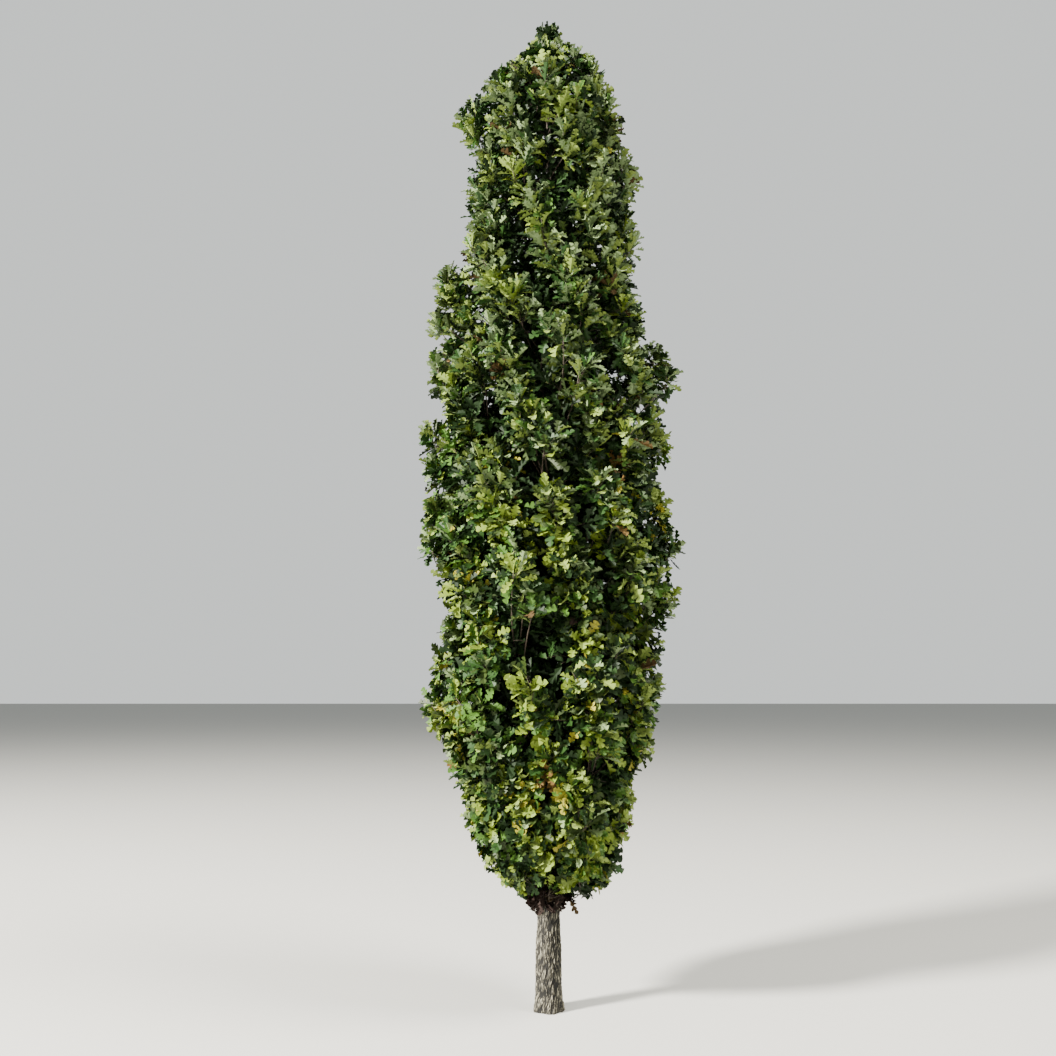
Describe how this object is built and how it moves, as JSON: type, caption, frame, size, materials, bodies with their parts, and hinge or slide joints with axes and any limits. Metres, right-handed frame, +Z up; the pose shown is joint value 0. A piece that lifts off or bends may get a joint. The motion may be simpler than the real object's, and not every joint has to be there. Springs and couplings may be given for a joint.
{
  "type": "hybrid oak tree",
  "caption": "Narrow upright young hybrid oak in leaf: one straight trunk, steep boughs round it and a dense, column-shaped crown of lobed leaves in early autumn green.",
  "frame": {"origin": "centre of the flat cut under the trunk, at ground level", "axes": "+Z up along the trunk, +X to the right and +Y away as seen from the front"},
  "size_m": [1.4091, 1.2918, 5.5],
  "materials": {
    "bark": "rough grey-brown bark, furrowed up and down",
    "foliage": "satin green leaves, paler underneath, some turning yellow"
  },
  "bodies": {
    "root": {"trunk": "bark", "bough_foot_1": "bark", "foliage_foot_1": "foliage", "bough_foot_2": "bark", "foliage_foot_2": "foliage", "bough_foot_3": "bark", "foliage_foot_3": "foliage", "bough_foot_4": "bark", "foliage_foot_4": "foliage", "bough_low_1": "bark", "foliage_low_1": "foliage", "bough_low_2": "bark", "foliage_low_2": "foliage", "bough_low_3": "bark", "foliage_low_3": "foliage", "bough_low_4": "bark", "foliage_low_4": "foliage", "bough_low_5": "bark", "foliage_low_5": "foliage", "bough_middle_1": "bark", "foliage_middle_1": "foliage", "bough_middle_2": "bark", "foliage_middle_2": "foliage", "bough_middle_3": "bark", "foliage_middle_3": "foliage", "bough_middle_4": "bark", "foliage_middle_4": "foliage", "bough_middle_5": "bark", "foliage_middle_5": "foliage", "bough_high_1": "bark", "foliage_high_1": "foliage", "bough_high_2": "bark", "foliage_high_2": "foliage", "bough_high_3": "bark", "foliage_high_3": "foliage", "bough_high_4": "bark", "foliage_high_4": "foliage", "bough_neck_1": "bark", "foliage_neck_1": "foliage", "bough_neck_2": "bark", "foliage_neck_2": "foliage", "bough_neck_3": "bark", "foliage_neck_3": "foliage", "bough_neck_4": "bark", "foliage_neck_4": "foliage", "foliage_top": "foliage"}
  },
  "joints": []
}
